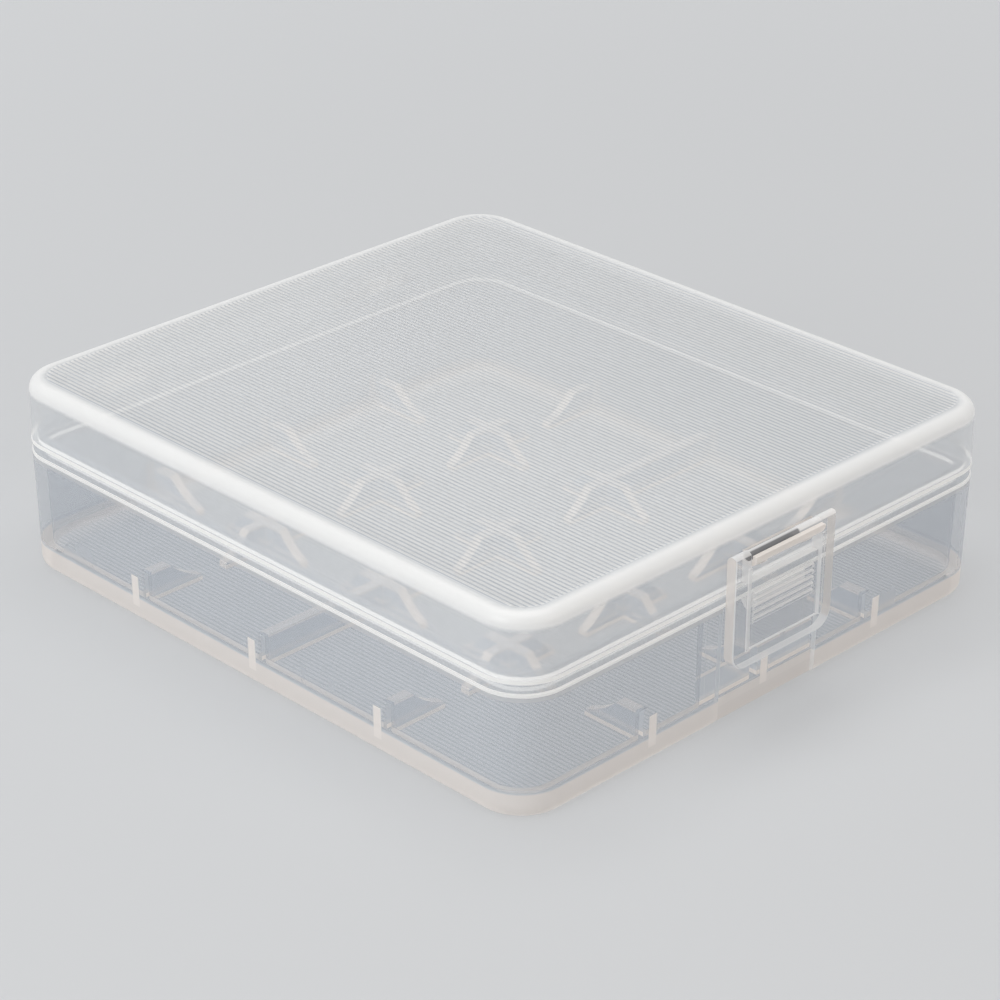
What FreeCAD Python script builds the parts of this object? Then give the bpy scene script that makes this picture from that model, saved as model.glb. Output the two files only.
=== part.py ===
import FreeCAD, Part
import math
import os

os.makedirs("parts", exist_ok=True)

# Hinged case for round battery cells, moulded in natural polypropylene, with a clear snap latch.
# Millimetres. +Z is up and the origin is the middle of the underside. The latch wall is at -Y and
# the hinge wall at +Y. Cells lie along X, side by side in lanes along Y.

# Shells, measured outside and at the parting plane
CASE_X = 72.0           # left wall to right wall
CASE_Y = 79.0           # latch wall to hinge wall
BASE_H = 15.1           # height of the parting plane
LID_H = 7.3
CORNER_R = 5.4
BASE_WALL = 1.35
LID_WALL = 1.25
FLOOR_T = 1.75
LID_TOP_T = 1.45
BASE_DRAFT = 0.30       # how far the base's walls lean in at the bottom, on each side
LID_DRAFT = 0.15        # how far the lid's walls lean in at the top, on each side
BOTTOM_FILLET = 0.9
TOP_FILLET = 1.3
FLOOR_FILLET = 0.6

# Rim of the base: a thick band with a bead below it, and a tongue that stands into the lid
RIM_H = 1.4             # from the ledge under the band to the parting plane
BEAD_H = 0.28
BAND_INSET = 0.12
TONGUE_T = 0.55
TONGUE_H = 0.9
TONGUE_GAP = 0.10

# Cradles: thin webs on the floor, in crosses between the cells and in gussets on the walls
LANES = 4
CELL_R = 9.2            # radius of the cell that the cradles are made for
CELL_CLEARANCE = 0.15   # between such a cell and the hollow of a web
WEB_T = 1.16
WEB_H = 3.55
WEB_FLAT = 2.9          # level part of the top, from the middle of a cross or from the wall
CROSS_REACH = 6.3
GUSSET_REACH = 7.4
TIP_H = 0.87
TIP_R = 0.35

# Latch: a clear clip that turns on the lid and catches under the base's rim
LATCH_W = 15.4
LATCH_T = 1.2
LATCH_GAP = 0.35        # behind the clip, to the case's wall
LATCH_DROP = 12.6       # from the pivot to the clip's lower end
LATCH_CORNER_R = 2.2
LATCH_EDGE_R = 0.35
PIVOT_RISE = 4.0        # pivot above the parting plane
BAR_R = 0.55
WINDOW_W = 10.8
WINDOW_DROP = 3.1       # from the pivot to the window's lower edge
POCKET_DEPTH = 0.35
POCKET_FOOT = 2.1       # plain border below the pocket
RAIL_RIB_W = 0.45
RAIL_RIB_H = 0.15
GRIPS = 5
GRIP_PITCH = 0.74
GRIP_R = 0.30
GRIP_W = 9.2
CATCH_W = 9.0
CATCH_BITE = 0.35       # how far the catch reaches in under the rim
CATCH_H = 1.2
CATCH_NOSE = 0.4
CATCH_GAP = 0.08

# Hook on the lid that holds the clip's pivot bar, and the recess in the base behind the clip
BAR_CLEARANCE = 0.05
HOOK_T = 0.55
HOOK_SIDE_GAP = 0.15
HOOK_LIP = 0.15         # how far the lip rises past the bar's middle
HOOK_BACK = 0.35        # the same at the wall
HOOK_RIBS = 2
HOOK_RIB_T = 0.8
HOOK_RIB_SPACING = 6.8
HOOK_RIB_DROP = 2.5
RECESS_W = 15.1
RECESS_DEPTH = 0.5

# Hinge: two groups on the back, each a lid knuckle between two base ears, on a loose pin
HINGE_SPACING = 40.0
KNUCKLE_R = 1.7
KNUCKLE_GAP = 0.4       # from the knuckles to the back wall
KNUCKLE_W = 6.0
EAR_W = 3.0
SIDE_GAP = 0.15         # between a knuckle and an ear
PIN_R = 0.75
PIN_TURN_GAP = 0.05     # pin in the lid's knuckle
PIN_SEAT_GAP = 0.01     # pin in the base's ears
HINGE_WEB_H = 4.2       # height of the webs that carry ears and knuckles on the walls
HINGE_WEB_GAP = 0.25    # from a web to the parting plane

# Working allowances: overlap that joins the features of one moulding, overrun of a cutting tool,
# and the slack in a test for where an edge lies
FUSE = 0.4
OVERRUN = 1.0
SLACK = 1e-4

# Worked out from the sizes above
CASE_H = BASE_H + LID_H
LEDGE_Z = BASE_H - RIM_H
FRONT_Y = -CASE_Y / 2
BACK_Y = CASE_Y / 2
LANE_Y = (CASE_Y - 2 * BASE_WALL) / LANES
LANE_X = (CASE_X - 2 * BASE_WALL) / LANES
CRADLE_R = CELL_R + CELL_CLEARANCE
LATCH_BACK_Y = FRONT_Y - LATCH_GAP
LATCH_FRONT_Y = LATCH_BACK_Y - LATCH_T
PIVOT_Y = LATCH_BACK_Y - LATCH_T / 2
PIVOT_Z = BASE_H + PIVOT_RISE
HINGE_Y = BACK_Y + KNUCKLE_GAP + KNUCKLE_R
HINGE_Z = BASE_H

V = FreeCAD.Vector
X_AXIS = V(1, 0, 0)


# ---------------------------------------------------------------- helpers

def box(x_low, x_high, y_low, y_high, z_low, z_high):
    """A block between two corners."""
    return Part.makeBox(x_high - x_low, y_high - y_low, z_high - z_low, V(x_low, y_low, z_low))


def rod(radius, x_low, x_high, y, z):
    """A round bar along X."""
    return Part.makeCylinder(radius, x_high - x_low, V(x_low, y, z), X_AXIS)


def plate_yz(points, x_low, x_high):
    """An outline of (y, z) points, extruded along X."""
    corners = [V(x_low, y, z) for y, z in points]
    wire = Part.makePolygon(corners + [corners[0]])
    return Part.Face(wire).extrude(V(x_high - x_low, 0, 0))


def rounded_outline(inset, z):
    """The case's outline at one height: a rectangle with round corners, shrunk by inset."""
    half_x = CASE_X / 2 - inset
    half_y = CASE_Y / 2 - inset
    radius = CORNER_R - inset
    edges = []
    for quarter in range(4):
        turn = quarter * math.pi / 2
        sign_x = 1 if quarter in (0, 3) else -1
        sign_y = 1 if quarter in (0, 1) else -1
        centre = V(sign_x * (half_x - radius), sign_y * (half_y - radius), z)
        points = []
        for step in range(3):
            angle = turn + step * math.pi / 4
            points.append(centre + V(radius * math.cos(angle), radius * math.sin(angle), 0))
        if edges:
            edges.append(Part.LineSegment(last, points[0]).toShape())
        else:
            first = points[0]
        edges.append(Part.Arc(*points).toShape())
        last = points[2]
    edges.append(Part.LineSegment(last, first).toShape())
    return Part.Wire(edges)


def case_block(inset_low, z_low, inset_high, z_high):
    """A solid with the case's outline, drafted from one height to another."""
    wires = [rounded_outline(inset_low, z_low), rounded_outline(inset_high, z_high)]
    return Part.makeLoft(wires, True, True)


def edges_at(shape, z):
    """The edges that lie level at one height."""
    return [e for e in shape.Edges if e.BoundBox.ZMin > z - SLACK and e.BoundBox.ZMax < z + SLACK]


def base_inset(z):
    """How far the base's outer face stands in from the parting outline at a height."""
    return BASE_DRAFT * (1 - z / BASE_H)


def lid_inset(z):
    """The same for the lid's outer face."""
    return LID_DRAFT * (z - BASE_H) / LID_H


def hinge_groups():
    """The middle of each hinge group along X."""
    return [-HINGE_SPACING / 2, HINGE_SPACING / 2]


def ear_spans(middle):
    """The two base ears of a hinge group, as (low, high) along X."""
    inner = KNUCKLE_W / 2 + SIDE_GAP
    outer = inner + EAR_W
    return [(middle - outer, middle - inner), (middle + inner, middle + outer)]


# ---------------------------------------------------------------- cradle webs

def cradle_outline(root):
    """Outline of a cradle web in (distance from its root, height above the floor), with its arc."""
    reach = CROSS_REACH if root == 0 else GUSSET_REACH
    top = V(WEB_FLAT, 0, WEB_H)
    tip = V(reach - TIP_R, 0, TIP_H)
    chord = tip - top
    middle = (top + tip) * 0.5
    sagitta = CRADLE_R - math.sqrt(CRADLE_R ** 2 - (chord.Length / 2) ** 2)
    inward = V(chord.z, 0, -chord.x).normalize()
    arc = Part.Arc(top, middle + inward * sagitta, tip).toShape()
    nose_mid = V(reach - TIP_R * (1 - math.sqrt(0.5)), 0, TIP_H - TIP_R * (1 - math.sqrt(0.5)))
    nose_end = V(reach, 0, TIP_H - TIP_R)
    nose = Part.Arc(tip, nose_mid, nose_end).toShape()
    corners = [nose_end, V(reach, 0, -FUSE), V(root, 0, -FUSE), V(root, 0, WEB_H), top]
    lines = [Part.LineSegment(a, b).toShape() for a, b in zip(corners, corners[1:])]
    return Part.Wire([arc, nose] + lines)


def cradle_web(root, x, y, heading):
    """A web standing on the floor, rooted at (x, y) and running along a heading in degrees."""
    web = Part.Face(cradle_outline(root)).extrude(V(0, WEB_T, 0))
    web.translate(V(0, -WEB_T / 2, 0))
    web.rotate(V(0, 0, 0), V(0, 0, 1), heading)
    web.translate(V(x, y, FLOOR_T))
    return web


def cradle_webs():
    """Every web on the floor: crosses at the lane corners, gussets on the walls, and a partition."""
    wall_x = CASE_X / 2 - BASE_WALL - base_inset(FLOOR_T)
    wall_y = CASE_Y / 2 - BASE_WALL - base_inset(FLOOR_T)
    webs = []
    for i in range(1, LANES):
        x = (i - LANES / 2) * LANE_X
        y = (i - LANES / 2) * LANE_Y
        webs.append(cradle_web(-FUSE, -wall_x, y, 0))
        webs.append(cradle_web(-FUSE, wall_x, y, 180))
        webs.append(cradle_web(-FUSE, x, -wall_y, 90))
        webs.append(cradle_web(-FUSE, x, wall_y, -90))
        for j in range(1, LANES):
            cross_y = (j - LANES / 2) * LANE_Y
            for heading in (0, 90, 180, 270):
                webs.append(cradle_web(0, x, cross_y, heading))
    half_web = WEB_T / 2
    inner_x = (LANES / 2 - 1) * LANE_X
    for side in (-1, 1):
        ends = sorted((side * inner_x, side * (wall_x + FUSE)))
        webs.append(box(ends[0], ends[1], -half_web, half_web, FLOOR_T - FUSE, FLOOR_T + WEB_H))
    return webs


# ---------------------------------------------------------------- base

def hinge_web(direction):
    """(y, z) outline of the web from an ear or knuckle to the back wall, above or below the hinge."""
    root_y = BACK_Y - FUSE
    lean = KNUCKLE_R * math.sqrt(0.5)
    return [
        (root_y, HINGE_Z + direction * HINGE_WEB_GAP),
        (HINGE_Y, HINGE_Z + direction * HINGE_WEB_GAP),
        (HINGE_Y + lean, HINGE_Z + direction * lean),
        (root_y, HINGE_Z + direction * HINGE_WEB_H),
    ]


def base_shell():
    """The tray with its rim, tongue and the jog in its latch wall."""
    bead_top = LEDGE_Z + BEAD_H
    body = case_block(base_inset(0), 0, base_inset(bead_top), bead_top)
    body = body.makeFillet(BOTTOM_FILLET, edges_at(body, 0))
    body = body.fuse(case_block(base_inset(bead_top) + BAND_INSET, bead_top, BAND_INSET, BASE_H))
    tongue_inset = BASE_WALL - TONGUE_T
    body = body.fuse(case_block(tongue_inset, BASE_H, tongue_inset, BASE_H + TONGUE_H))
    cavity = case_block(BASE_WALL + base_inset(FLOOR_T), FLOOR_T, BASE_WALL, BASE_H)
    cavity = cavity.makeFillet(FLOOR_FILLET, edges_at(cavity, FLOOR_T))
    cavity = cavity.fuse(case_block(BASE_WALL, BASE_H, BASE_WALL, BASE_H + TONGUE_H))
    shell = body.cut(cavity)

    # The wall steps in behind the latch and keeps its thickness, so its rim becomes a ledge.
    half_jog = RECESS_W / 2 + BASE_WALL
    jog_y = FRONT_Y + BASE_WALL + base_inset(0) + RECESS_DEPTH
    pad = box(-half_jog, half_jog, FRONT_Y + BASE_WALL - FUSE, jog_y, FLOOR_T - FUSE, LEDGE_Z)
    half_recess = RECESS_W / 2
    recess = box(-half_recess, half_recess, FRONT_Y - OVERRUN, jog_y, -OVERRUN, LEDGE_Z)
    core = case_block(base_inset(-OVERRUN) + RECESS_DEPTH, -OVERRUN, RECESS_DEPTH, BASE_H)
    return shell.fuse(pad).cut(recess.cut(core))


def base_tray():
    """The lower moulding: tray, cradle webs and hinge ears."""
    tray = base_shell().multiFuse(cradle_webs())
    ears = []
    for middle in hinge_groups():
        for low, high in ear_spans(middle):
            ears.append(rod(KNUCKLE_R, low, high, HINGE_Y, HINGE_Z))
            ears.append(plate_yz(hinge_web(-1), low, high))
    tray = tray.multiFuse(ears)
    for middle in hinge_groups():
        low = ear_spans(middle)[0][0]
        high = ear_spans(middle)[1][1]
        tray = tray.cut(rod(PIN_R + PIN_SEAT_GAP, low - OVERRUN, high + OVERRUN, HINGE_Y, HINGE_Z))
    return tray.removeSplitter()


def hinge_pin(middle):
    """A loose pin, flush with the outer ends of the two ears."""
    low = ear_spans(middle)[0][0]
    high = ear_spans(middle)[1][1]
    return rod(PIN_R, low, high, HINGE_Y, HINGE_Z)


# ---------------------------------------------------------------- lid

def lid_shell():
    """The cover, with the step in its edge that takes the base's tongue."""
    body = case_block(0, BASE_H, LID_DRAFT, CASE_H)
    body = body.makeFillet(TOP_FILLET, edges_at(body, CASE_H))
    roof_z = CASE_H - LID_TOP_T
    cavity = case_block(LID_WALL, BASE_H, LID_WALL + lid_inset(roof_z), roof_z)
    step_inset = BASE_WALL - TONGUE_T - TONGUE_GAP
    step = case_block(step_inset, BASE_H, step_inset, BASE_H + TONGUE_H + TONGUE_GAP)
    return body.cut(cavity).cut(step)


def latch_hook():
    """The hook on the lid: a trough under the pivot bar, a lip in front of it and ribs below."""
    half = WINDOW_W / 2 - HOOK_SIDE_GAP
    end = half + OVERRUN
    bore = BAR_R + BAR_CLEARANCE
    outer = bore + HOOK_T
    wall_y = FRONT_Y + FUSE
    back_z = PIVOT_Z + HOOK_BACK
    top_z = PIVOT_Z + outer + OVERRUN
    trough = rod(outer, -half, half, PIVOT_Y, PIVOT_Z)
    trough = trough.fuse(box(-half, half, PIVOT_Y, wall_y, PIVOT_Z - outer, back_z))
    trough = trough.cut(rod(bore, -end, end, PIVOT_Y, PIVOT_Z))
    trough = trough.cut(box(-end, end, PIVOT_Y - outer - OVERRUN, PIVOT_Y + bore, PIVOT_Z + HOOK_LIP, top_z))
    trough = trough.cut(box(-end, end, PIVOT_Y, PIVOT_Y + bore, PIVOT_Z, top_z))
    trough = trough.cut(box(-end, end, PIVOT_Y, wall_y, back_z, top_z))
    jaw_z = PIVOT_Z - outer
    rib = [
        (PIVOT_Y - bore, jaw_z + HOOK_T / 2),
        (PIVOT_Y - bore, jaw_z),
        (wall_y, PIVOT_Z - HOOK_RIB_DROP),
        (wall_y, jaw_z + HOOK_T / 2),
    ]
    pieces = []
    for i in range(HOOK_RIBS):
        x = (i - (HOOK_RIBS - 1) / 2) * HOOK_RIB_SPACING
        pieces.append(plate_yz(rib, x - HOOK_RIB_T / 2, x + HOOK_RIB_T / 2))
    return trough.multiFuse(pieces)


def lid():
    """The upper moulding: cover, hinge knuckles and the hook for the latch."""
    pieces = [latch_hook()]
    for middle in hinge_groups():
        low = middle - KNUCKLE_W / 2
        high = middle + KNUCKLE_W / 2
        pieces.append(rod(KNUCKLE_R, low, high, HINGE_Y, HINGE_Z))
        pieces.append(plate_yz(hinge_web(1), low, high))
    cover = lid_shell().multiFuse(pieces)
    for middle in hinge_groups():
        low = middle - KNUCKLE_W
        cover = cover.cut(rod(PIN_R + PIN_TURN_GAP, low, low + 2 * KNUCKLE_W, HINGE_Y, HINGE_Z))
    return cover.removeSplitter()


# ---------------------------------------------------------------- latch

def clip_blank():
    """The clip's plate: round lower corners, soft front edges and a top that is round about the pivot."""
    half = LATCH_W / 2
    low = PIVOT_Z - LATCH_DROP
    high = PIVOT_Z + LATCH_T
    r = LATCH_CORNER_R
    s = r * (1 - math.sqrt(0.5))
    corner_left = Part.Arc(V(-half, 0, low + r), V(-half + s, 0, low + s), V(-half + r, 0, low))
    corner_right = Part.Arc(V(half - r, 0, low), V(half - s, 0, low + s), V(half, 0, low + r))
    edges = [
        Part.LineSegment(V(-half, 0, high), V(-half, 0, low + r)).toShape(),
        corner_left.toShape(),
        Part.LineSegment(V(-half + r, 0, low), V(half - r, 0, low)).toShape(),
        corner_right.toShape(),
        Part.LineSegment(V(half, 0, low + r), V(half, 0, high)).toShape(),
        Part.LineSegment(V(half, 0, high), V(-half, 0, high)).toShape(),
    ]
    plate = Part.Face(Part.Wire(edges)).extrude(V(0, LATCH_T, 0))
    plate.translate(V(0, LATCH_FRONT_Y, 0))
    front = LATCH_FRONT_Y + SLACK
    rim = [e for e in plate.Edges if e.BoundBox.YMax < front and e.BoundBox.ZMin < high - SLACK]
    plate = plate.makeFillet(LATCH_EDGE_R, rim)
    envelope = rod(LATCH_T / 2, -LATCH_W, LATCH_W, PIVOT_Y, PIVOT_Z)
    envelope = envelope.fuse(box(-LATCH_W, LATCH_W, LATCH_FRONT_Y, LATCH_BACK_Y, low - OVERRUN, PIVOT_Z))
    return plate.common(envelope)


def latch():
    """The clip: rails, pivot bar, window, pocket with finger grips, and the catch on its back."""
    half_window = WINDOW_W / 2
    window_low = PIVOT_Z - WINDOW_DROP
    pocket_low = PIVOT_Z - LATCH_DROP + POCKET_FOOT
    pocket_y = LATCH_FRONT_Y + POCKET_DEPTH
    out_y = LATCH_FRONT_Y - OVERRUN
    window_top = PIVOT_Z + LATCH_T
    clip = clip_blank()
    clip = clip.cut(box(-half_window, half_window, out_y, LATCH_BACK_Y + OVERRUN, window_low, window_top))
    clip = clip.cut(box(-half_window, half_window, out_y, pocket_y, pocket_low, window_low))
    details = [rod(BAR_R, -half_window - FUSE, half_window + FUSE, PIVOT_Y, PIVOT_Z)]
    for side in (-1, 1):
        x = side * (half_window + RAIL_RIB_W / 2)
        details.append(box(x - RAIL_RIB_W / 2, x + RAIL_RIB_W / 2, LATCH_FRONT_Y - RAIL_RIB_H,
                           LATCH_FRONT_Y + FUSE, pocket_low, PIVOT_Z - 2 * BAR_R))
    grip_middle = (pocket_low + window_low) / 2 + GRIP_PITCH
    for i in range(GRIPS):
        z = grip_middle + (i - (GRIPS - 1) / 2) * GRIP_PITCH
        details.append(rod(GRIP_R, -GRIP_W / 2, GRIP_W / 2, pocket_y, z))
    tip_y = FRONT_Y + CATCH_BITE
    top_z = LEDGE_Z - CATCH_GAP
    catch = [
        (LATCH_BACK_Y - FUSE, top_z),
        (tip_y, top_z),
        (tip_y, top_z - CATCH_NOSE),
        (LATCH_BACK_Y, top_z - CATCH_H),
        (LATCH_BACK_Y - FUSE, top_z - CATCH_H),
    ]
    details.append(plate_yz(catch, -CATCH_W / 2, CATCH_W / 2))
    return clip.multiFuse(details).removeSplitter()


# ---------------------------------------------------------------- assembly

NODES = {
    "base_tray": base_tray(),
    "lid": lid(),
    "latch": latch(),
    "hinge_pin_left": hinge_pin(hinge_groups()[0]),
    "hinge_pin_right": hinge_pin(hinge_groups()[1]),
}

for name, shape in NODES.items():
    print(name, "valid", shape.isValid(), "solids", len(shape.Solids), "volume", round(shape.Volume, 2))
    shape.exportStep("parts/" + name + ".step")
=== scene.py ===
import math

import bmesh
import bpy
from mathutils import Matrix, Vector


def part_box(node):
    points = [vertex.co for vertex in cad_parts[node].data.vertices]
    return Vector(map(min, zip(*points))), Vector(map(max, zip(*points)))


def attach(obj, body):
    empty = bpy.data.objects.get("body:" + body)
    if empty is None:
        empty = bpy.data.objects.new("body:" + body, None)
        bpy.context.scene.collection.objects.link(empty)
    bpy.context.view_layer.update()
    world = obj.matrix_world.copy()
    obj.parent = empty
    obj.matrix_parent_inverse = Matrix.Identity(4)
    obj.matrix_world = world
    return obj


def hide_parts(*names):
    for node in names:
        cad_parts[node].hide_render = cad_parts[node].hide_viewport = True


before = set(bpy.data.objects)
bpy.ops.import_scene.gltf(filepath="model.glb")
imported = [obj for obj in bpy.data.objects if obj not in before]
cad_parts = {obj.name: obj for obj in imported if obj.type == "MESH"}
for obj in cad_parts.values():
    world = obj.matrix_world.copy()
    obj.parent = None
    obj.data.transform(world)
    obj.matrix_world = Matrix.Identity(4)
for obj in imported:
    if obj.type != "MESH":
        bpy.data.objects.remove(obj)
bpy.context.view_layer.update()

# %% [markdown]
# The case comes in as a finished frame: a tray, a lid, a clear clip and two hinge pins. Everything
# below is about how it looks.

scene = bpy.context.scene
MM = 0.001

# %% [markdown]
# A few sizes of the case place every pattern. The lid's are read from the frame. The others repeat
# a size of the moulding: how deep the case is without its latch and hinges, where its rim and its
# floor are, how its corners are rounded in plan, and how far apart its fine mould lines are.

# %% Sizes of the case
_, lid_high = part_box("lid")
HALF_X = lid_high.x
HALF_Y = 39.5 * MM
TOP_Z = lid_high.z
PARTING_Z = 15.1 * MM
LEDGE_Z = 13.7 * MM
BEAD_Z = 13.98 * MM
FLOOR_Z = 1.75 * MM
CORNER_R = 5.4 * MM
LINE_PITCH = 0.582 * MM
clip_low, clip_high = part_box("latch")
print("clip in mm:", [round(v / MM, 2) for v in (*clip_low, *clip_high)])
print("lid half width in mm:", round(HALF_X / MM, 2), "top at", round(TOP_Z / MM, 2))

# %% [markdown]
# The camera looks down on the corner between the left wall and the latch wall, from about 0.35 m.
# A long lens keeps the box's edges nearly parallel. Its three axes are built from a direction and
# a small roll, which is easier to read than three Euler angles.

# %% Camera
CAMERA_AT = Vector((-0.21345, -0.21476, 0.16279))
AZIMUTH = math.radians(44.863)
ELEVATION = math.radians(26.978)
ROLL = math.radians(0.2528)
LENS_MM = 111.39

forward = Vector((
    math.sin(AZIMUTH) * math.cos(ELEVATION),
    math.cos(AZIMUTH) * math.cos(ELEVATION),
    -math.sin(ELEVATION),
))
right = Vector((math.cos(AZIMUTH), -math.sin(AZIMUTH), 0))
up = right.cross(forward)
rolled_right = right * math.cos(ROLL) + up * math.sin(ROLL)
rolled_up = up * math.cos(ROLL) - right * math.sin(ROLL)
turn = Matrix((rolled_right, rolled_up, -forward)).transposed()
camera = bpy.data.objects.new("camera", bpy.data.cameras.new("camera"))
camera.matrix_world = Matrix.Translation(CAMERA_AT) @ turn.to_4x4()
camera.data.lens = LENS_MM
camera.data.sensor_width = 36
camera.data.clip_start = 0.01
scene.collection.objects.link(camera)
scene.camera = camera
print("camera distance in m:", round(CAMERA_AT.length, 3))

# %% [markdown]
# Every pattern in the materials is a sum on the object's own coordinates. These small helpers
# build the sums from math nodes and keep the materials readable. The Mix node has several sockets
# of one name, so its colour sockets are taken by number.

# %% Helpers for masks
COLOUR_A, COLOUR_B, COLOUR_OUT = 6, 7, 2


def join(tree, value, socket):
    """Link a socket to an input, or set a plain number on it."""
    if hasattr(value, "is_linked"):
        tree.links.new(value, socket)
    else:
        socket.default_value = value


def calc(tree, operation, *values):
    """A math node. Returns its output."""
    node = tree.nodes.new("ShaderNodeMath")
    node.operation = operation
    for value, socket in zip(values, node.inputs):
        join(tree, value, socket)
    return node.outputs[0]


def rise(tree, value, low, high):
    """0 below low, 1 above high, smooth between them."""
    node = tree.nodes.new("ShaderNodeMapRange")
    node.interpolation_type = "SMOOTHSTEP"
    for label, given in (("Value", value), ("From Min", low), ("From Max", high)):
        join(tree, given, node.inputs[label])
    return node.outputs["Result"]


def without(tree, mask):
    """1 where the mask is 0, and the other way round."""
    return calc(tree, "SUBTRACT", 1.0, mask)


def below(tree, value, low, high):
    """1 below low, 0 above high, smooth between them."""
    return without(tree, rise(tree, value, low, high))


def between(tree, value, low, high, soft):
    """1 between low and high, fading to 0 over a soft edge outside them."""
    up = rise(tree, value, low - soft, low)
    down = rise(tree, value, high, high + soft)
    return calc(tree, "SUBTRACT", up, down)


def both(tree, *masks):
    """The masks multiplied together."""
    result = masks[0]
    for mask in masks[1:]:
        result = calc(tree, "MULTIPLY", result, mask)
    return result


def either(tree, *masks):
    """The strongest of the masks."""
    result = masks[0]
    for mask in masks[1:]:
        result = calc(tree, "MAXIMUM", result, mask)
    return result


def split(tree, vector):
    """X, Y and Z of a vector, as a small dictionary."""
    node = tree.nodes.new("ShaderNodeSeparateXYZ")
    tree.links.new(vector, node.inputs[0])
    return {axis: node.outputs[axis] for axis in "XYZ"}


def blend_colour(tree, factor, first, second):
    """One colour where factor is 0 and another where it is 1."""
    node = tree.nodes.new("ShaderNodeMix")
    node.data_type = "RGBA"
    for value, socket in ((factor, "Factor"), (first, COLOUR_A), (second, COLOUR_B)):
        join(tree, value, node.inputs[socket])
    return node.outputs[COLOUR_OUT]


def seen_directly(tree):
    """1 for rays that carry the picture itself, also by way of gloss or glass, and 0 for light."""
    ray = tree.nodes.new("ShaderNodeLightPath").outputs
    return either(tree, ray["Is Camera Ray"], ray["Is Glossy Ray"], ray["Is Transmission Ray"])


# %% [markdown]
# The floor is a plain pale sheet, far larger than the view. Three soft lamps light the case: a
# wide one overhead, a key from the left and a weaker, warm fill from the right. The world adds an
# even grey, so that no side of the case is black. Far from the lamps the floor would go dark, so
# there it shows a level of its own, and the world behind it does the same. Only rays that carry
# the picture meet these levels, straight or by way of gloss or glass, so neither of them lights
# the case. Near the case the floor's own level is next to nothing, and the floor keeps the shadow.

# %% Floor, lamps and world
FLOOR_SIZE = 6.0
WORLD_LEVEL = 0.30
BACKDROP_LEVEL = 0.60
LAMP_REACH = 0.75
FAR_FLOOR_LIGHT = 0.41
BLACK = (0, 0, 0, 1)
PAINT_DARK = (0.60, 0.61, 0.62, 1)
PAINT_PALE = (0.64, 0.65, 0.66, 1)
FAR_FLOOR_TINT = (0.97, 0.985, 1, 1)
WORLD_TINT = (0.95, 0.97, 1.0, 1)
WARM_LAMP = (1.0, 0.87, 0.75)


def floor_material():
    """Pale, slightly uneven matt paint, which keeps its level where the lamps no longer reach."""
    m = bpy.data.materials.new("studio_floor")
    m.use_nodes = True
    tree = m.node_tree
    shader = tree.nodes["Principled BSDF"]
    shader.inputs["Roughness"].default_value = 0.9
    at = tree.nodes.new("ShaderNodeTexCoord").outputs["Object"]
    noise = tree.nodes.new("ShaderNodeTexNoise")
    noise.inputs["Scale"].default_value = 3.0
    tree.links.new(at, noise.inputs["Vector"])
    paint = blend_colour(tree, noise.outputs["Fac"], PAINT_DARK, PAINT_PALE)
    join(tree, paint, shader.inputs["Base Color"])

    place = split(tree, at)
    x, y = place["X"], place["Y"]
    squared = calc(tree, "ADD", both(tree, x, x), both(tree, y, y))
    spread = calc(tree, "ADD", calc(tree, "DIVIDE", squared, LAMP_REACH ** 2), 1.0)
    unlit = without(tree, calc(tree, "POWER", spread, -2.0))
    glow = blend_colour(tree, both(tree, unlit, seen_directly(tree)), BLACK, FAR_FLOOR_TINT)
    join(tree, glow, shader.inputs["Emission Color"])
    shader.inputs["Emission Strength"].default_value = FAR_FLOOR_LIGHT
    return m


def add_floor():
    """One large square on Z = 0, which belongs to the stage and not to the case."""
    bm = bmesh.new()
    bmesh.ops.create_grid(bm, x_segments=1, y_segments=1, size=FLOOR_SIZE / 2)
    mesh = bpy.data.meshes.new("floor")
    bm.to_mesh(mesh)
    bm.free()
    floor = bpy.data.objects.new("floor", mesh)
    mesh.materials.append(floor_material())
    scene.collection.objects.link(floor)


def add_lamp(name, place, size, watts, colour=(1, 1, 1)):
    """A square soft lamp that points at the middle of the case."""
    lamp = bpy.data.lights.new(name, "AREA")
    lamp.color = colour
    lamp.size = size
    lamp.energy = watts
    holder = bpy.data.objects.new(name, lamp)
    aim = Vector((0, 0, TOP_Z / 2)) - Vector(place)
    holder.location = place
    holder.rotation_mode = "QUATERNION"
    holder.rotation_quaternion = aim.to_track_quat("-Z", "Y")
    scene.collection.objects.link(holder)


add_floor()
add_lamp("overhead", (0.05, 0.10, 0.75), 0.7, 3.25)
add_lamp("key_left", (-0.70, 0.05, 0.40), 0.5, 2.75)
add_lamp("fill_right", (0.25, -0.75, 0.40), 0.5, 1.25, WARM_LAMP)

world = bpy.data.worlds.new("studio")
world.use_nodes = True
sky = world.node_tree
backdrop = sky.nodes["Background"]
backdrop.inputs["Color"].default_value = WORLD_TINT
extra = both(sky, seen_directly(sky), BACKDROP_LEVEL - WORLD_LEVEL)
join(sky, calc(sky, "ADD", extra, WORLD_LEVEL), backdrop.inputs["Strength"])
scene.world = world
scene.view_settings.view_transform = "Standard"
scene.cycles.transparent_max_bounces = 32

# %% [markdown]
# Milky plastic is see-through where it is thin and pale where it is thick, or where light leaves
# it through an edge. Every wall has two faces, so each face hides only a little of what is behind
# it. Three patterns are used by more than one material, so each is built once as a node group:
# fine mould lines, nearness to the case's outline, and the slow clouds and fine grain of moulded
# plastic.

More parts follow.
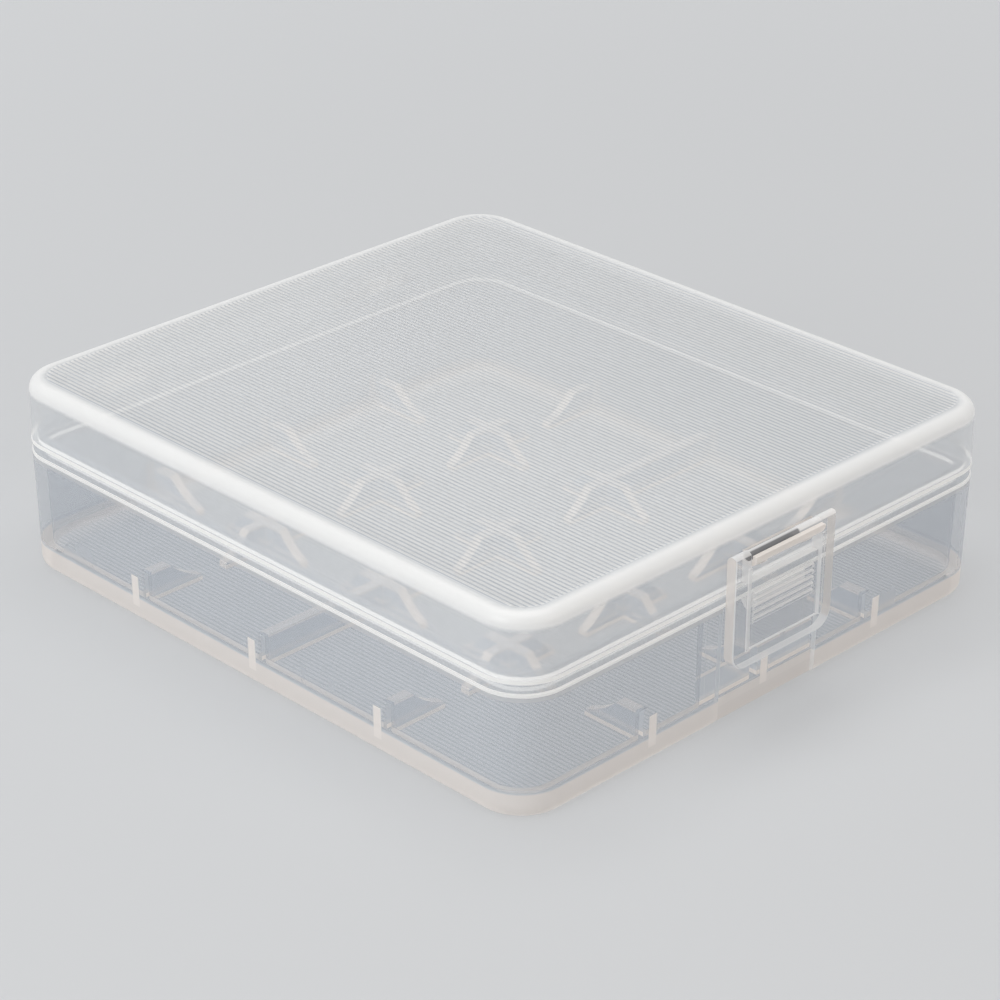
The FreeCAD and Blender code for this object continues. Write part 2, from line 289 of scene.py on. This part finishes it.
# %% Node groups
def new_group(name, inputs, outputs):
    """An empty group. Inputs are (name, socket type, default) and outputs are names of numbers."""
    group = bpy.data.node_groups.new(name, "ShaderNodeTree")
    for label, kind, value in inputs:
        socket = group.interface.new_socket(label, in_out="INPUT", socket_type=kind)
        socket.default_value = value
    for label in outputs:
        group.interface.new_socket(label, in_out="OUTPUT", socket_type="NodeSocketFloat")
    given, out = group.nodes.new("NodeGroupInput"), group.nodes.new("NodeGroupOutput")
    return group, given.outputs, out.inputs


def mould_lines_group():
    """Fine lines along Y: 1 on a ridge and 0 in a groove. A groove runs over X = 0."""
    group, given, out = new_group(
        "mould_lines",
        [("Vector", "NodeSocketVector", (0, 0, 0)), ("Pitch", "NodeSocketFloat", LINE_PITCH)],
        ["Ridge"],
    )
    turns = calc(group, "DIVIDE", split(group, given["Vector"])["X"], given["Pitch"])
    wave = calc(group, "COSINE", calc(group, "MULTIPLY", turns, 2 * math.pi))
    join(group, below(group, wave, 0.1, 0.75), out["Ridge"])
    return group


def edge_glow_group():
    """1 on the case's outer outline, fading to 0 within Reach of it, with round corners."""
    group, given, out = new_group(
        "edge_glow",
        [("Vector", "NodeSocketVector", (0, 0, 0)), ("Reach", "NodeSocketFloat", 2 * MM)],
        ["Glow"],
    )
    place = split(group, given["Vector"])
    squared = 0.0
    for axis, half in (("X", HALF_X), ("Y", HALF_Y)):
        past = calc(group, "SUBTRACT", calc(group, "ABSOLUTE", place[axis]), half - CORNER_R)
        past = calc(group, "MAXIMUM", past, 0.0)
        squared = calc(group, "ADD", squared, both(group, past, past))
    inside = calc(group, "SUBTRACT", CORNER_R, calc(group, "SQRT", squared))
    near = without(group, calc(group, "DIVIDE", inside, given["Reach"]))
    join(group, rise(group, near, 0.0, 0.6), out["Glow"])
    return group


def clouds_group():
    """Slow clouds and a fine grain, both noise around 0.5."""
    group, given, out = new_group(
        "plastic_clouds", [("Vector", "NodeSocketVector", (0, 0, 0))], ["Cloud", "Grain"])
    for label, scale, detail in (("Cloud", 60.0, 3.0), ("Grain", 4000.0, 2.0)):
        noise = group.nodes.new("ShaderNodeTexNoise")
        noise.inputs["Scale"].default_value = scale
        noise.inputs["Detail"].default_value = detail
        group.links.new(given["Vector"], noise.inputs["Vector"])
        group.links.new(noise.outputs["Fac"], out[label])
    return group


MOULD_LINES = mould_lines_group()
EDGE_GLOW = edge_glow_group()
CLOUDS = clouds_group()
print("node groups:", [g.name for g in bpy.data.node_groups])


# %% A new material with its coordinates
def new_material(name, ior):
    """A material, its tree and shader, and the object's own coordinates and normal."""
    m = bpy.data.materials.new(name)
    m.use_nodes = True
    tree = m.node_tree
    shader = tree.nodes["Principled BSDF"]
    shader.inputs["IOR"].default_value = ior
    coordinates = tree.nodes.new("ShaderNodeTexCoord").outputs
    return m, tree, shader, coordinates["Object"], coordinates["Normal"]


def place_group(tree, group, vector, **values):
    """Place a node group, give it the coordinates and its values, and return its outputs."""
    node = tree.nodes.new("ShaderNodeGroup")
    node.node_tree = group
    tree.links.new(vector, node.inputs["Vector"])
    for label, value in values.items():
        node.inputs[label].default_value = value
    return node.outputs


# %% [markdown]
# Milky plastic does not swallow light, it scatters it onward, so a ray that lights is stopped less
# than a ray that sees. A share of it also glows with light from behind, which is what the
# Translucent shader adds. The tray's milk is a painted shade darker than the lid's, because a pale
# floor shows through the tray.

# %% Colours and shares of natural polypropylene
LID_MILK = (0.77, 0.79, 0.81, 1)
# The tray's milk is a painted shade darker than the lid's, and the pins share it.
SHADED_MILK = (0.54, 0.58, 0.63, 1)
WARM_CREAM = (0.96, 0.87, 0.79, 1)
# The colour of painted highlights.
HIGHLIGHT_WHITE = (0.89, 0.885, 0.865, 1)
DENSE_MILK = (0.72, 0.75, 0.79, 1)
GROOVE_SHADE = (0.49, 0.52, 0.56, 1)
PASSED_ON = 0.75
THROUGH = 0.25
EDGE_LIGHT = 0.2
SOLID = 0.65
DRIFT = 0.10
MOST_HIDDEN = 0.97
BUMP_HEIGHT = 0.04 * MM

# %% [markdown]
# Tray, lid and pins are natural polypropylene. Its colour runs from cool milk in the thin walls to
# warm cream where the plastic is thick, and the cream is also more solid. Each piece says where it
# is pale with a painted highlight, where it is cream or dense and where it is lit, and this one
# function does the rest. Dense hides more and is a little lighter, for parts that are thick but
# level. Lit stands for the light that has run along inside a plate and comes out at its edges. It
# is painted here as a faint glow, which is much cheaper than following the light through the
# plate. The mould lines take a painted highlight on each ridge and a painted shade in each groove.

# %% Natural polypropylene
def mix_shaders(tree, share, first, second):
    """The first shader where share is 0 and the second where it is 1."""
    node = tree.nodes.new("ShaderNodeMixShader")
    for value, socket in zip((share, first, second), node.inputs):
        join(tree, value, socket)
    return node.outputs[0]


def let_light_pass(tree, hidden):
    """What a face hides, and less than that for rays that only carry light."""
    ray = tree.nodes.new("ShaderNodeLightPath").outputs
    lighting = either(tree, ray["Is Shadow Ray"], ray["Is Diffuse Ray"])
    return both(tree, hidden, without(tree, both(tree, lighting, PASSED_ON)))


def natural_polypropylene(
        name, milk, veil, find_pale, find_lined=None, line_weight=0, line_shade=0):
    """Milk is the plain colour and veil is how much one plain face hides. The two functions build
    the piece's masks. Line_weight is how much more the lines hide, and line_shade how strongly
    each ridge takes a painted highlight and each groove a painted shade."""
    m, tree, shader, at, normal = new_material(name, 1.49)
    place, facing = split(tree, at), split(tree, normal)
    clouds = place_group(tree, CLOUDS, at)
    ridge = place_group(tree, MOULD_LINES, at)["Ridge"]
    pale_and_highlight, cream, dense, lit = find_pale(tree, at, place, facing, clouds)
    lined = find_lined(tree, at, place, facing) if find_lined else 0.0
    groove = both(tree, lined, without(tree, ridge), line_shade)

    tint = blend_colour(tree, dense, milk, DENSE_MILK)
    tint = blend_colour(tree, cream, tint, WARM_CREAM)
    # Ridges and pale edges take a painted highlight, and grooves take a painted shade.
    ridge_highlight = both(tree, lined, ridge, line_shade)
    tint = blend_colour(tree, either(tree, pale_and_highlight, ridge_highlight), tint, HIGHLIGHT_WHITE)
    tint = blend_colour(tree, groove, tint, GROOVE_SHADE)
    join(tree, tint, shader.inputs["Base Color"])
    # A faint painted glow where the piece is lit.
    glow = blend_colour(tree, both(tree, lit, EDGE_LIGHT), BLACK, tint)
    join(tree, glow, shader.inputs["Emission Color"])
    shader.inputs["Emission Strength"].default_value = 1.0
    roughness = calc(tree, "ADD", 0.24, both(tree, clouds["Grain"], 0.18))
    join(tree, roughness, shader.inputs["Roughness"])

    drift = both(tree, calc(tree, "SUBTRACT", clouds["Cloud"], 0.5), DRIFT)
    hidden = calc(tree, "ADD", veil, drift)
    hidden = calc(tree, "ADD", hidden, both(tree, either(tree, pale_and_highlight, cream, dense), SOLID))
    hidden = calc(tree, "ADD", hidden, both(tree, lined, line_weight))
    hidden = calc(tree, "MINIMUM", hidden, MOST_HIDDEN)
    translucent = tree.nodes.new("ShaderNodeBsdfTranslucent")
    join(tree, tint, translucent.inputs["Color"])
    clear = tree.nodes.new("ShaderNodeBsdfTransparent")
    body = mix_shaders(tree, THROUGH, shader.outputs[0], translucent.outputs[0])
    surface = mix_shaders(tree, let_light_pass(tree, hidden), clear.outputs[0], body)
    join(tree, surface, tree.nodes["Material Output"].inputs["Surface"])

    bump = tree.nodes.new("ShaderNodeBump")
    bump.inputs["Strength"].default_value = 0.3
    bump.inputs["Distance"].default_value = BUMP_HEIGHT
    relief = calc(tree, "ADD", both(tree, clouds["Grain"], 0.35), both(tree, ridge, lined))
    join(tree, relief, bump.inputs["Height"])
    join(tree, bump.outputs["Normal"], shader.inputs["Normal"])
    return m


# %% [markdown]
# The lid takes a painted highlight along the round of its top edge and along its lower edge, where
# the wall ends. The painted highlight of the round runs a little way down the wall and fades. The
# inside of the lower edge takes the strongest painted glow, so the rim at the back shows through
# the top. The hook for the clip and the knuckles are thick, so they are cream. The mould lines
# cover the flat of the top and stop short of its edge.

# %% The lid's masks
INNER_GLOW = 2.2


def near_outline(tree, at, reach):
    """1 on the case's outline, fading to 0 within reach of it."""
    return place_group(tree, EDGE_GLOW, at, Reach=reach)["Glow"]


def inner_faces(tree, at):
    """1 on the inside of the case's walls and 0 on their outside."""
    return below(tree, near_outline(tree, at, 0.7 * MM), 0.0, 0.02)


def past_shell(tree, value):
    """1 on what stands out past the case's front or back wall."""
    return rise(tree, value, HALF_Y + 0.05 * MM, HALF_Y + 0.3 * MM)


def lid_pale(tree, at, place, facing, clouds):
    y, z = place["Y"], place["Z"]
    front = calc(tree, "MULTIPLY", y, -1)
    # Painted highlight on the round of the top edge and on the lower edge.
    round_edge = both(tree, near_outline(tree, at, 2.7 * MM),
                      rise(tree, z, TOP_Z - 1.85 * MM, TOP_Z - 1.2 * MM), 0.85)
    lower_edge = both(tree, below(tree, z, PARTING_Z + 0.42 * MM, PARTING_Z + 0.55 * MM), 0.95)
    on_shell = below(tree, front, HALF_Y, HALF_Y + 0.1 * MM)
    pale_and_highlight = both(tree, either(tree, round_edge, lower_edge), on_shell)
    hook = both(tree, past_shell(tree, front), 0.75)
    knuckles = both(tree, past_shell(tree, y), 0.35)
    cream = either(tree, hook, knuckles)
    rim_inside = both(tree, lower_edge, inner_faces(tree, at), INNER_GLOW)
    return pale_and_highlight, cream, 0.0, either(tree, pale_and_highlight, both(tree, cream, 0.4), rim_inside)


def lid_lined(tree, at, place, facing):
    flat = both(tree, rise(tree, facing["Z"], 0.5, 0.7),
                rise(tree, place["Z"], TOP_Z - 0.2 * MM, TOP_Z - 0.1 * MM))
    return both(tree, flat, below(tree, near_outline(tree, at, 2.9 * MM), 0.35, 0.6))


lid_plastic = natural_polypropylene(
    "natural_polypropylene_lid", LID_MILK, 0.34, lid_pale, lid_lined,
    line_weight=0.28, line_shade=0.9)
print("made", lid_plastic.name)

# %% [markdown]
# In the tray, light comes out of every narrow face, and it is painted there as cream lines with a
# faint glow: the level tops and hollow sides of the cradle webs, their upright tips, and the ends
# where they meet a wall. The broad faces stay milky, with a fainter painted glow. A thin line of
# painted light along a web's foot and its upper brink is drawn on one broad face only, the one
# towards the left or the latch wall. With a line on both faces, each web would show doubled
# through itself.

# %% Where the tray's webs are
WEB_T = 1.16 * MM
WEB_TOP_Z = 5.3 * MM
LANE_X = 17.325 * MM
LANE_Y = 19.075 * MM


def nearest_lane(tree, value, pitch):
    """Distance along one axis to the nearest line of webs, which stand at -1, 0 and 1 pitch."""
    off = calc(tree, "ABSOLUTE", value)
    return calc(tree, "MINIMUM", off, calc(tree, "ABSOLUTE", calc(tree, "SUBTRACT", off, pitch)))


def web_ends(tree, place):
    """The bars of painted light on the outside of the walls, where webs end behind them."""
    bars = []
    for wall, half, along, pitch in (("X", HALF_X, "Y", LANE_Y), ("Y", HALF_Y, "X", LANE_X)):
        off = calc(tree, "ABSOLUTE", place[wall])
        on_wall = rise(tree, off, half - 1.2 * MM, half - 0.9 * MM)
        lane = nearest_lane(tree, place[along], pitch)
        on_lane = below(tree, lane, WEB_T / 2 - 0.1 * MM, WEB_T / 2 + 0.1 * MM)
        bars.append(both(tree, on_wall, on_lane))
    low = between(tree, place["Z"], FLOOR_Z, WEB_TOP_Z, 0.15 * MM)
    return both(tree, low, either(tree, *bars))


def web_tips(tree, place, facing):
    """The upright ends of the webs, which face along the web."""
    ends = []
    for along, across, pitch in (("X", "Y", LANE_Y), ("Y", "X", LANE_X)):
        lane = nearest_lane(tree, place[across], pitch)
        on_lane = below(tree, lane, WEB_T / 2, WEB_T / 2 + 0.1 * MM)
        along_web = rise(tree, calc(tree, "ABSOLUTE", facing[along]), 0.8, 0.95)
        ends.append(both(tree, on_lane, along_web))
    return either(tree, *ends)


def web_masks(tree, at, place, facing):
    """Everything on the webs, and the cream lines of painted light on them."""
    z = place["Z"]
    inside = below(tree, near_outline(tree, at, 2.1 * MM), 0.0, 0.02)
    height = between(tree, z, FLOOR_Z + 0.05 * MM, WEB_TOP_Z + 0.1 * MM, 0.02 * MM)
    on_web = both(tree, inside, height)
    level = rise(tree, facing["Z"], 0.85, 0.95)
    narrow = both(tree, rise(tree, facing["Z"], 0.1, 0.3),
                  calc(tree, "SUBTRACT", 0.9, both(tree, level, 0.3)))
    tips = both(tree, web_tips(tree, place, facing), 0.8)
    one_side = either(tree, below(tree, facing["X"], -0.95, -0.8),
                      below(tree, facing["Y"], -0.95, -0.8))
    foot = both(tree, one_side, below(tree, z, FLOOR_Z + 0.5 * MM, FLOOR_Z + 0.6 * MM))
    brink = both(tree, one_side,
                 rise(tree, z, WEB_TOP_Z - 0.35 * MM, WEB_TOP_Z - 0.25 * MM), 0.75)
    # Cream lines of painted light on the narrow faces, tips, feet and brinks.
    lines = both(tree, on_web, either(tree, narrow, tips, foot, brink))
    return on_web, either(tree, lines, both(tree, web_ends(tree, place), 0.75))


# %% [markdown]
# The rest of the tray is a band round the bottom, which is thick and cream with a faint painted
# glow, and the rim, with a painted highlight on the bead below a paler matt band whose grain
# shows; both take a faint painted glow. Just above the bottom band a sight line enters the wall
# and meets only the underside, so the skirt there is made denser. The edges of the recess behind
# the clip catch light, painted as a highlight, and so do the lugs of the hinge, painted cream.

# %% The tray's masks
RECESS_HALF = 7.55 * MM


def tray_pale(tree, at, place, facing, clouds):
    z = place["Z"]
    front = calc(tree, "MULTIPLY", place["Y"], -1)
    on_web, webs = web_masks(tree, at, place, facing)
    bottom = both(tree, below(tree, z, 2.6 * MM, 2.9 * MM), near_outline(tree, at, 3.2 * MM), 0.72)
    lip = both(tree, between(tree, z, LEDGE_Z - 0.5 * MM, LEDGE_Z, 0.15 * MM), 0.3)
    lugs = both(tree, past_shell(tree, calc(tree, "ABSOLUTE", place["Y"])), 0.3)
    cream = either(tree, webs, bottom, lip, lugs)

    # Painted highlight on the bead and the recess edges, and a paler matt band speckled by its
    # grain.
    bead = both(tree, between(tree, z, LEDGE_Z - 0.02 * MM, BEAD_Z + 0.1 * MM, 0.06 * MM), 0.95)
    speckle = calc(tree, "ADD", 0.26, both(tree, rise(tree, clouds["Grain"], 0.3, 0.7), 0.08))
    matt_band = both(tree, rise(tree, z, BEAD_Z + 0.05 * MM, BEAD_Z + 0.15 * MM), speckle)
    off_x = calc(tree, "ABSOLUTE", place["X"])
    stepped = between(tree, off_x, RECESS_HALF - 0.04 * MM, RECESS_HALF + 0.04 * MM, 0.02 * MM)
    recess_edge = both(tree, stepped, rise(tree, front, HALF_Y - 2.3 * MM, HALF_Y - 2.2 * MM),
                       below(tree, z, LEDGE_Z - 0.1 * MM, LEDGE_Z), 0.45)
    pale_and_highlight = either(tree, bead, matt_band, recess_edge)

    skirt = both(tree, below(tree, z, 2.7 * MM, 3.3 * MM), near_outline(tree, at, 0.7 * MM), 0.75)
    plate = both(tree, between(tree, z, FLOOR_Z - 0.1 * MM, 2.4 * MM, 0.05 * MM), 0.5)
    dense = either(tree, plate, skirt, both(tree, on_web, 0.4))
    # A faint painted glow, strongest on the inside of the bead.
    rim_inside = both(tree, bead, inner_faces(tree, at), INNER_GLOW)
    lit = either(tree, pale_and_highlight, webs, both(tree, bottom, 0.35), both(tree, on_web, 0.7), rim_inside)
    return pale_and_highlight, cream, dense, lit


def tray_lined(tree, at, place, facing):
    """The upper side of the floor plate."""
    level = between(tree, place["Z"], FLOOR_Z - 0.03 * MM, FLOOR_Z + 0.02 * MM, 0.01 * MM)
    return both(tree, level, rise(tree, facing["Z"], 0.8, 0.95))


tray_plastic = natural_polypropylene(
    "natural_polypropylene_tray", SHADED_MILK, 0.34, tray_pale, tray_lined,
    line_weight=0.08, line_shade=0.75)
print("made", tray_plastic.name)

# %% [markdown]
# The hinge pins are short rods of the same plastic. They are thick for their size, so they are
# cream all through, and they carry no mould lines.

# %% The pins' plastic
def pin_pale(tree, at, place, facing, clouds):
    cream = calc(tree, "ADD", 0.5, both(tree, clouds["Cloud"], 0.3))
    # A faint painted glow where the pin is cream.
    return 0.0, cream, 0.0, both(tree, cream, 0.4)


pin_plastic = natural_polypropylene("natural_polypropylene_pin", SHADED_MILK, 0.3, pin_pale)
print("made", pin_plastic.name)

# %% [markdown]
# The clip is a different plastic: hard, clear and colourless. Clear plastic shows mostly at its
# edges, where light runs through the plate and comes out, and along its ribs. So its front and
# back faces hide very little, and the faces that turn away from them take a painted highlight
# with a faint painted glow. Its outer side faces take a painted cream light. The right side and
# the faces that look down are toned down, or they would show as broad bars through the plate. A
# painted shade lies as a dark slot in front of the pivot bar and runs from the left over two
# thirds of it.

# %% Clear plastic for the clip
PIVOT_Z = 19.1 * MM
WINDOW_HALF = 5.4 * MM
CLIP_SIDE_X = 7.3 * MM
SLOT_END_X = 1.8 * MM
CLEAR_DULL = (0.50, 0.53, 0.57, 1)
CLEAR_BRIGHT = (0.60, 0.61, 0.63, 1)
# Colours of the clip's painted highlight, painted cream light and painted shade.
RIB_HIGHLIGHT = (0.93, 0.92, 0.91, 1)
SIDE_LIGHT_CREAM = (0.82, 0.74, 0.67, 1)
SLOT_SHADE = (0.15, 0.155, 0.165, 1)


def clear_plastic():
    m, tree, shader, at, normal = new_material("clear_clip", 1.58)
    place, facing = split(tree, at), split(tree, normal)
    x, z = place["X"], place["Z"]
    off_axis = calc(tree, "ABSOLUTE", x)
    clouds = place_group(tree, CLOUDS, at)

    # Painted cream light on the outer side faces.
    side = both(tree, rise(tree, calc(tree, "ABSOLUTE", facing["X"]), 0.7, 0.9),
                rise(tree, off_axis, CLIP_SIDE_X - 0.1 * MM, CLIP_SIDE_X + 0.1 * MM), 0.8)
    right = both(tree, rise(tree, facing["X"], 0.7, 0.9),
                 rise(tree, x, CLIP_SIDE_X - 0.1 * MM, CLIP_SIDE_X + 0.1 * MM), 0.75)
    under = both(tree, below(tree, facing["Z"], -0.7, -0.3), 0.5)
    # Painted highlight on the faces that turn away from front and back.
    turned = both(tree, below(tree, calc(tree, "ABSOLUTE", facing["Y"]), 0.80, 0.97),
                  without(tree, either(tree, right, under)))
    bar = both(tree, below(tree, off_axis, WINDOW_HALF - 0.1 * MM, WINDOW_HALF),
               rise(tree, z, PIVOT_Z - 0.7 * MM, PIVOT_Z - 0.6 * MM))
    # Painted shade in the slot.
    slot = both(tree, bar, below(tree, z, PIVOT_Z + 0.46 * MM, PIVOT_Z + 0.56 * MM),
                below(tree, x, SLOT_END_X, SLOT_END_X + 0.3 * MM))

    tint = blend_colour(tree, clouds["Cloud"], CLEAR_DULL, CLEAR_BRIGHT)
    tint = blend_colour(tree, turned, tint, RIB_HIGHLIGHT)
    tint = blend_colour(tree, side, tint, SIDE_LIGHT_CREAM)
    tint = blend_colour(tree, both(tree, slot, 0.9), tint, SLOT_SHADE)
    join(tree, tint, shader.inputs["Base Color"])
    # A faint painted glow on the turned faces.
    shine = both(tree, turned, without(tree, slot), 0.3 * EDGE_LIGHT)
    join(tree, blend_colour(tree, shine, BLACK, tint), shader.inputs["Emission Color"])
    shader.inputs["Emission Strength"].default_value = 1.0
    hidden = calc(tree, "ADD", 0.10, both(tree, clouds["Cloud"], 0.06))
    hidden = calc(tree, "ADD", hidden, both(tree, turned, 0.5))
    join(tree, either(tree, hidden, both(tree, bar, 0.75)), shader.inputs["Alpha"])
    roughness = calc(tree, "ADD", 0.06, both(tree, clouds["Grain"], 0.06))
    join(tree, roughness, shader.inputs["Roughness"])
    return m


clip_plastic = clear_plastic()
for node, material in (("base_tray", tray_plastic), ("latch", clip_plastic),
                       ("hinge_pin_left", pin_plastic), ("hinge_pin_right", pin_plastic)):
    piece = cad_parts[node]
    piece.data.materials.clear()
    piece.data.materials.append(material)
    print(node, "is now", material.name)

# %% [markdown]
# Fine grooves cover the lid's flat top, inside a plain border. The lid is made again from a merged
# copy of its frame mesh. The top becomes one face, an inset leaves the border, planes cut the rest
# into strips, and a second inset sinks every strip that is a groove, which also closes its ends.

# %% The lid's flat top as one face
BORDER = 0.9 * MM
GROOVE_W = 0.24 * MM
GROOVE_SLOPE = 0.05 * MM
GROOVE_DEPTH = 0.06 * MM
SMOOTH_UP_TO = math.radians(30)
SAME_PLACE = 1e-8

lid_bm = bmesh.new()
lid_bm.from_mesh(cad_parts["lid"].data)
bmesh.ops.remove_doubles(lid_bm, verts=lid_bm.verts, dist=1e-7)


def flat_top():
    """The level faces at the very top of the lid."""
    level = [f for f in lid_bm.faces if f.normal.z > 0.9999]
    return [f for f in level if f.calc_center_median().z > TOP_Z - 0.001 * MM]


bmesh.ops.dissolve_faces(lid_bm, faces=flat_top())
(top_face,) = flat_top()
bmesh.ops.inset_region(lid_bm, faces=[top_face], thickness=BORDER, use_even_offset=True)
print("corners of the top face:", len(top_face.verts))

# %% Strips, and a groove sunk in every other one
strips = [top_face]
reach = max(v.co.x for v in top_face.verts)
count = int((reach - GROOVE_W) / LINE_PITCH)


def spans(face, x):
    """Whether a face reaches across a plane at x."""
    return min(v.co.x for v in face.verts) < x < max(v.co.x for v in face.verts)


def on_groove(face):
    """Whether a strip lies over the middle of a groove."""
    return abs(math.remainder(face.calc_center_median().x, LINE_PITCH)) < GROOVE_W / 4


for number in range(-count, count + 1):
    for side in (-1, 1):
        x = number * LINE_PITCH + side * GROOVE_W / 2
        wide = [f for f in strips if spans(f, x)]
        others = [f for f in strips if f not in wide]
        edges = dict.fromkeys(e for f in wide for e in f.edges)
        corners = dict.fromkeys(v for f in wide for v in f.verts)
        cut = bmesh.ops.bisect_plane(
            lid_bm, geom=[*wide, *edges, *corners],
            plane_co=(x, 0, 0), plane_no=(1, 0, 0), dist=SAME_PLACE)
        strips = others + [g for g in cut["geom"] if isinstance(g, bmesh.types.BMFace)]
grooves = [f for f in strips if on_groove(f)]
bmesh.ops.inset_individual(
    lid_bm, faces=grooves, thickness=GROOVE_SLOPE, depth=-GROOVE_DEPTH, use_even_offset=True)
lowest = min(v.co.z for f in grooves for v in f.verts)
print("grooves:", len(grooves), "strips:", len(strips))
print("depth in mm:", round((TOP_Z - lowest) / MM, 3))


# %% The lid as a piece
def finished_piece(bm, name, material, body, stands_for):
    """A mesh object from a bmesh, shaded smooth up to 30 degrees, that stands for a node."""
    open_edges = sum(1 for e in bm.edges if len(e.link_faces) != 2)
    mesh = bpy.data.meshes.new(name)
    bm.to_mesh(mesh)
    bm.free()
    mesh.shade_smooth()
    mesh.set_sharp_from_angle(angle=SMOOTH_UP_TO)
    mesh.materials.append(material)
    piece = bpy.data.objects.new(name, mesh)
    scene.collection.objects.link(piece)
    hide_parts(stands_for)
    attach(piece, body)
    print(name, "faces:", len(mesh.polygons), "open edges:", open_edges)


finished_piece(lid_bm, "lid_grooved", lid_plastic, "lid", "lid")
